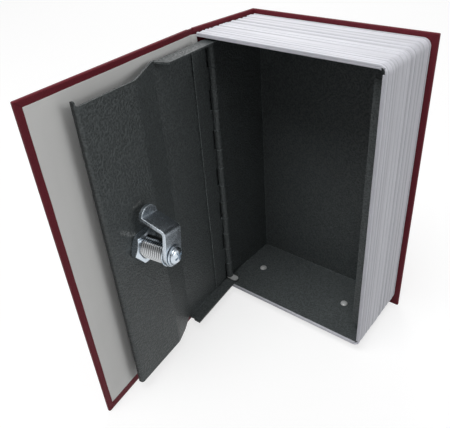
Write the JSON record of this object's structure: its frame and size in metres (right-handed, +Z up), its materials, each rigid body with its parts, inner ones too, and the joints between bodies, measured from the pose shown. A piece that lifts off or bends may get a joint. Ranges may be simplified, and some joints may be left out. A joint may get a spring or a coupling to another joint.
{
  "type": "book diversion safe",
  "caption": "Hollow hardback book whose front cover opens on a steel cash box with a piano-hinged door and a cam lock.",
  "frame": {"origin": "middle of the open book's bounding box, on the surface it stands on", "axes": "+Z up along the spine, +X from the spine to the page block's fore-edge, +Y from the front of the book to its back cover"},
  "size_m": [0.1152, 0.1684, 0.1795],
  "materials": {
    "page_plastic": "bluish white moulded plastic with fine page-edge ridges",
    "hammered_steel": "dark grey hammered paint, semi-gloss",
    "zinc_steel": "bright zinc plate",
    "lock_chrome": "polished chrome plate",
    "wafer_brass": "plain stamped brass",
    "rivet_alloy": "satin domed rivet head",
    "binding_cloth": "burgundy book cloth with a fine leather-like grain",
    "binders_board": "grey binder's board",
    "endpaper": "off-white paper pasted down"
  },
  "bodies": {
    "case": {"page_shell": "page_plastic", "box_tray": "hammered_steel", "strike_strip": "hammered_steel", "box_hinge_leaf": "hammered_steel", "hinge_pin": "zinc_steel", "spine_board": "binders_board", "back_board": "binders_board", "case_cloth": "binding_cloth", "back_endpaper": "endpaper", "floor_rivet_near": "rivet_alloy", "floor_rivet_far": "rivet_alloy", "ceiling_rivet_near": "rivet_alloy", "ceiling_rivet_far": "rivet_alloy", "strike_rivet_lower": "rivet_alloy", "strike_rivet_upper": "rivet_alloy"},
    "door": {"door_panel": "hammered_steel", "door_hinge_leaf": "hammered_steel", "lock_housing": "lock_chrome", "lock_nut": "zinc_steel"},
    "lock": {"lock_plug": "lock_chrome", "lock_wafer_1": "wafer_brass", "lock_wafer_2": "wafer_brass", "lock_wafer_3": "wafer_brass", "lock_wafer_4": "wafer_brass", "lock_wafer_5": "wafer_brass", "cam_stop_disc": "zinc_steel", "lock_cam": "zinc_steel", "cam_washer": "zinc_steel", "cam_screw": "zinc_steel"},
    "gutter": {"gutter_cloth": "binding_cloth"},
    "cover": {"front_board": "binders_board", "front_cloth": "binding_cloth", "front_endpaper": "endpaper"}
  },
  "joints": [
    {"name": "door_swing", "type": "hinge", "parent": "case", "child": "door", "pos_m": [-0.04842, 0.03374, 0.08975], "axis": [0, 0, -1], "range_deg": [-82.6, 6]},
    {"name": "lock_turn", "type": "hinge", "parent": "door", "child": "lock", "pos_m": [-0.03349, -0.04399, 0.0928], "axis": [0.9917, 0.1288, 0], "range_deg": [0, 98.4]},
    {"name": "gutter_swing", "type": "hinge", "parent": "case", "child": "gutter", "pos_m": [-0.0566, 0.02884, 0.08975], "axis": [0, 0, -1], "range_deg": [-81.41, 5.92]},
    {"name": "cover_swing", "type": "hinge", "parent": "gutter", "child": "cover", "pos_m": [-0.05731, 0.0257, 0.08975], "axis": [0, 0, -1], "range_deg": [0, 100]}
  ],
  "couplings": [
    {"joint": "gutter_swing", "follows": "door_swing", "ratio": 0.98547}
  ]
}
